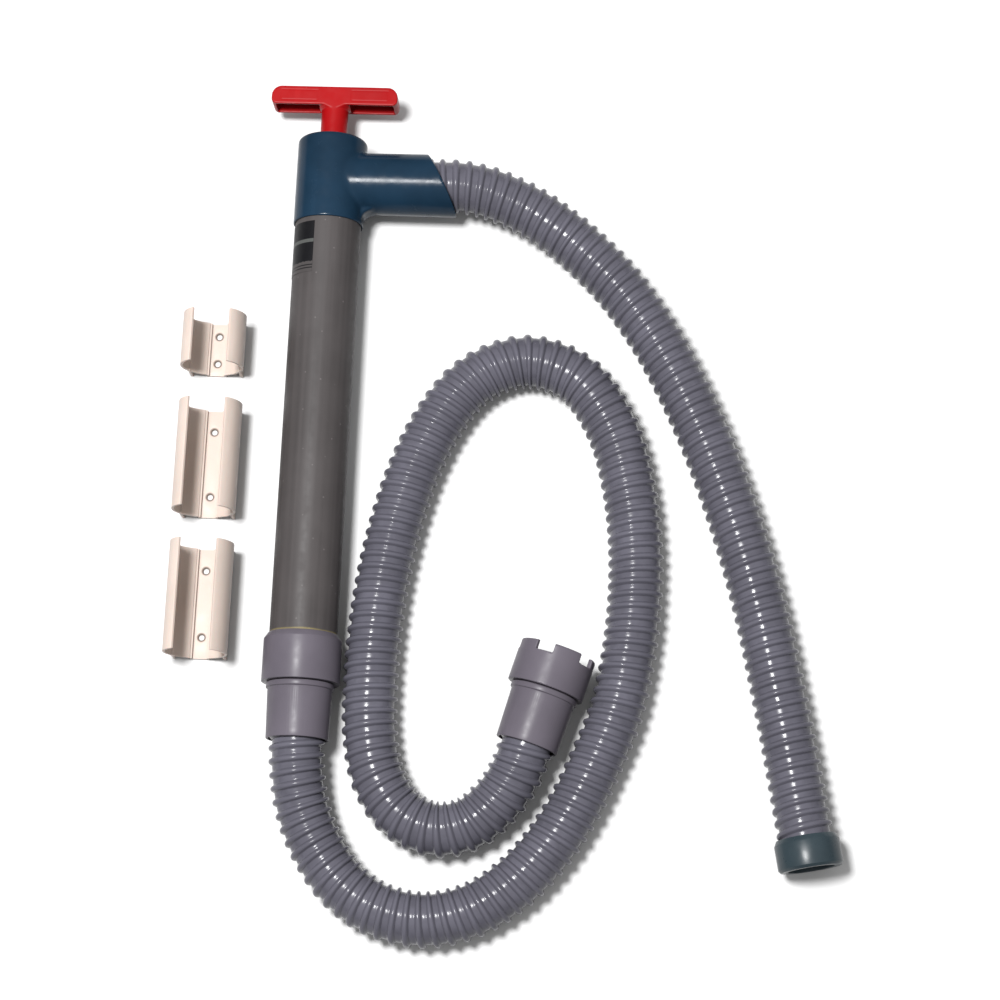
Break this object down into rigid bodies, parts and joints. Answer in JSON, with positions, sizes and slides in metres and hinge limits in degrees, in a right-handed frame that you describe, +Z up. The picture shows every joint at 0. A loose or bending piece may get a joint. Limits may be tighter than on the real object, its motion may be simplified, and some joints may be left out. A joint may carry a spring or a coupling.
{
  "type": "hand bilge pump",
  "caption": "Hand-operated piston bilge pump with T-handle, side spout, ribbed suction and discharge hoses, castellated strainer end and loose snap-in mounting clips.",
  "frame": {"origin": "on the surface that the object lies on, under the middle of the pump and its clips, hoses left out", "axes": "+Y along the barrel towards the T-handle, +X the way the spout points, +Z up from the surface"},
  "size_m": [0.5012, 0.6485, 0.0575],
  "materials": {
    "red_handle": "moulded, satin gloss",
    "navy_head": "moulded, satin gloss",
    "grey_pvc": "extruded, matte, faint drawing lines",
    "fitting_grey": "moulded, satin gloss",
    "hose_grey": "flexible ribbed plastic, glossy",
    "teal_cuff": "moulded, satin gloss",
    "ivory_clip": "extruded, satin",
    "label_film": "printed film",
    "black_rubber": "moulded rubber",
    "black_plastic": "moulded, matte",
    "rod_plastic": "extruded, smooth",
    "white_plastic": "moulded, matte"
  },
  "bodies": {
    "pump": {"head": "navy_head", "rod_bush": "black_plastic", "rod_seal": "black_rubber", "barrel_tube": "grey_pvc", "barrel_label": "label_film", "foot_valve_seat": "fitting_grey", "foot_valve_stud": "white_plastic", "lower_socket": "fitting_grey", "suction_cuff": "fitting_grey", "suction_hose": "hose_grey", "strainer_ring": "fitting_grey", "strainer_cuff": "fitting_grey", "discharge_hose": "hose_grey", "discharge_cuff": "teal_cuff"},
    "piston": {"piston_body": "white_plastic", "piston_cup": "black_rubber"},
    "plunger": {"handle": "red_handle", "plunger_rod": "rod_plastic", "valve_stop": "white_plastic", "piston_nut": "white_plastic"},
    "piston_valve": {"piston_valve_disc": "black_rubber"},
    "foot_valve": {"foot_valve_disc": "black_rubber"},
    "clip_short": {"clip_short": "ivory_clip"},
    "clip_upper": {"clip_long_upper": "ivory_clip"},
    "clip_lower": {"clip_long_lower": "ivory_clip"}
  },
  "joints": [
    {"name": "plunger_slide", "type": "slide", "parent": "pump", "child": "piston", "axis": [0, 1, 0], "range_m": [0, 0.311]},
    {"name": "handle_swivel", "type": "hinge", "parent": "piston", "child": "plunger", "pos_m": [0.004, -0.16, 0.02875], "axis": [0, 1, 0], "continuous": true},
    {"name": "piston_valve_lift", "type": "slide", "parent": "piston", "child": "piston_valve", "axis": [0, 1, 0], "range_m": [0, 0.004]},
    {"name": "foot_valve_lift", "type": "slide", "parent": "pump", "child": "foot_valve", "axis": [0, 1, 0], "range_m": [0, 0.005]},
    {"name": "clip_short_lift", "type": "slide", "parent": "pump", "child": "clip_short", "axis": [0, 0, 1], "range_m": [0, 0.08]},
    {"name": "clip_upper_lift", "type": "slide", "parent": "pump", "child": "clip_upper", "axis": [0, 0, 1], "range_m": [0, 0.08]},
    {"name": "clip_lower_lift", "type": "slide", "parent": "pump", "child": "clip_lower", "axis": [0, 0, 1], "range_m": [0, 0.08]}
  ]
}
